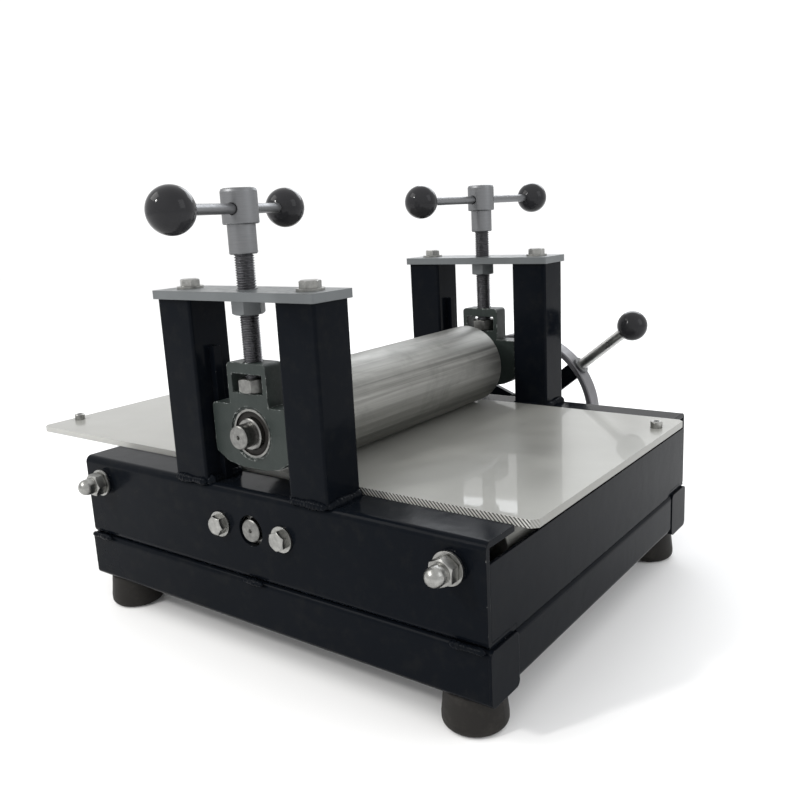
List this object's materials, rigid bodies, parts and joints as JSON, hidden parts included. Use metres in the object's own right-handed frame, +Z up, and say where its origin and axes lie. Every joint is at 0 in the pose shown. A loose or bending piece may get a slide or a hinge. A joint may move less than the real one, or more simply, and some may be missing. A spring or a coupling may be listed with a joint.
{
  "type": "etching press",
  "caption": "Bench etching press: a steel bed slides between two rollers in a black channel frame, with pressure screws and a handwheel.",
  "frame": {"origin": "on the table plane, straight under the line where the two rollers meet, midway between the side frames", "axes": "+X along the bed's travel, +Y along the rollers towards the handwheel, +Z up"},
  "size_m": [0.774, 0.7428, 0.5015],
  "materials": {
    "black_paint": "gloss black paint",
    "grey_paint": "satin grey paint",
    "cast_grey": "dark green-grey paint over rough casting",
    "rim_grey": "satin grey paint",
    "zinc": "bright zinc plating",
    "dark_steel": "oiled dark steel",
    "handle_steel": "satin turned steel",
    "shaft_steel": "turned steel",
    "bearing_steel": "ground bearing steel",
    "roller_steel": "turned and polished steel with streaks",
    "bed_steel": "polished steel plate",
    "black_ball": "moulded, glossy",
    "rubber": "matte rubber"
  },
  "bodies": {
    "frame": {"base_rail_near": "black_paint", "base_rail_far": "black_paint", "base_end_left": "black_paint", "base_end_right": "black_paint", "base_end_caps": "black_paint", "rubber_feet": "rubber", "foot_bolts": "zinc", "side_channel_near": "black_paint", "side_channel_far": "black_paint", "end_panel_left": "black_paint", "end_panel_right": "black_paint", "post_near_left": "black_paint", "post_near_right": "black_paint", "post_far_left": "black_paint", "post_far_right": "black_paint", "post_end_plates": "black_paint", "guide_bars": "black_paint", "top_plate_near": "grey_paint", "top_plate_far": "grey_paint", "plate_nuts": "grey_paint", "plate_bolts": "zinc", "plate_washers": "zinc", "flange_housing_near": "cast_grey", "flange_housing_far": "cast_grey", "flange_bearing_rings": "bearing_steel", "flange_bolts": "zinc", "flange_washers": "zinc", "flange_nuts": "zinc", "idler_shafts": "shaft_steel", "acorn_nuts": "zinc", "acorn_washers": "zinc"},
    "bed": {"bed_plate": "bed_steel", "bed_stops": "zinc"},
    "drive": {"lower_roller": "roller_steel", "lower_shaft": "shaft_steel", "lower_inner_rings": "bearing_steel", "wheel_hub": "cast_grey", "wheel_rim": "rim_grey", "wheel_spokes": "black_paint", "grip_boss": "handle_steel", "grip_bar": "shaft_steel", "grip_ball": "black_ball"},
    "idler_left": {"idler_roller_left": "roller_steel"},
    "idler_right": {"idler_roller_right": "roller_steel"},
    "carriage": {"take_up_housing_near": "cast_grey", "take_up_housing_far": "cast_grey", "take_up_rings": "bearing_steel"},
    "pressure_roller": {"upper_roller": "roller_steel", "upper_shaft": "shaft_steel", "upper_inner_rings": "bearing_steel"},
    "screw_near": {"screw_rod_near": "dark_steel", "screw_head_near": "handle_steel", "window_nut_near": "shaft_steel"},
    "screw_far": {"screw_rod_far": "dark_steel", "screw_head_far": "handle_steel", "window_nut_far": "shaft_steel"},
    "tommy_near": {"tommy_bar_near": "handle_steel", "tommy_knobs_near": "black_ball"},
    "tommy_far": {"tommy_bar_far": "handle_steel", "tommy_knobs_far": "black_ball"}
  },
  "joints": [
    {"name": "bed_travel", "type": "slide", "parent": "frame", "child": "bed", "axis": [1, 0, 0], "range_m": [-0.215, 0.385]},
    {"name": "drive_spin", "type": "hinge", "parent": "frame", "child": "drive", "pos_m": [0, 0, 0.1516], "axis": [0, 1, 0], "range_deg": [-320, 570]},
    {"name": "idler_left_spin", "type": "hinge", "parent": "frame", "child": "idler_left", "pos_m": [-0.25, 0, 0.1676], "axis": [0, 1, 0], "range_deg": [-535, 955]},
    {"name": "idler_right_spin", "type": "hinge", "parent": "frame", "child": "idler_right", "pos_m": [0.25, 0, 0.1676], "axis": [0, 1, 0], "range_deg": [-535, 955]},
    {"name": "lift", "type": "slide", "parent": "frame", "child": "carriage", "axis": [0, 0, 1], "range_m": [0, 0.03]},
    {"name": "pressure_spin", "type": "hinge", "parent": "carriage", "child": "pressure_roller", "pos_m": [0, 0, 0.2536], "axis": [0, 1, 0], "range_deg": [-420, 240]},
    {"name": "screw_near_turn", "type": "hinge", "parent": "carriage", "child": "screw_near", "pos_m": [0, -0.23, 0.48], "axis": [0, 0, 1], "range_deg": [0, 4320]},
    {"name": "screw_far_turn", "type": "hinge", "parent": "carriage", "child": "screw_far", "pos_m": [0, 0.23, 0.48], "axis": [0, 0, 1], "range_deg": [0, 4320]},
    {"name": "tommy_near_slide", "type": "slide", "parent": "screw_near", "child": "tommy_near", "axis": [-0.342, 0.9397, 0], "range_m": [-0.069, 0.087]},
    {"name": "tommy_far_slide", "type": "slide", "parent": "screw_far", "child": "tommy_far", "axis": [0.1736, 0.9848, 0], "range_m": [-0.076, 0.079]}
  ],
  "couplings": [
    {"joint": "drive_spin", "follows": "bed_travel", "rad_per_m": 25.381},
    {"joint": "idler_left_spin", "follows": "bed_travel", "rad_per_m": 42.735},
    {"joint": "idler_right_spin", "follows": "bed_travel", "rad_per_m": 42.735},
    {"joint": "pressure_spin", "follows": "bed_travel", "rad_per_m": -18.518},
    {"joint": "screw_near_turn", "follows": "lift", "rad_per_m": 2513.2},
    {"joint": "screw_far_turn", "follows": "lift", "rad_per_m": 2513.2}
  ]
}
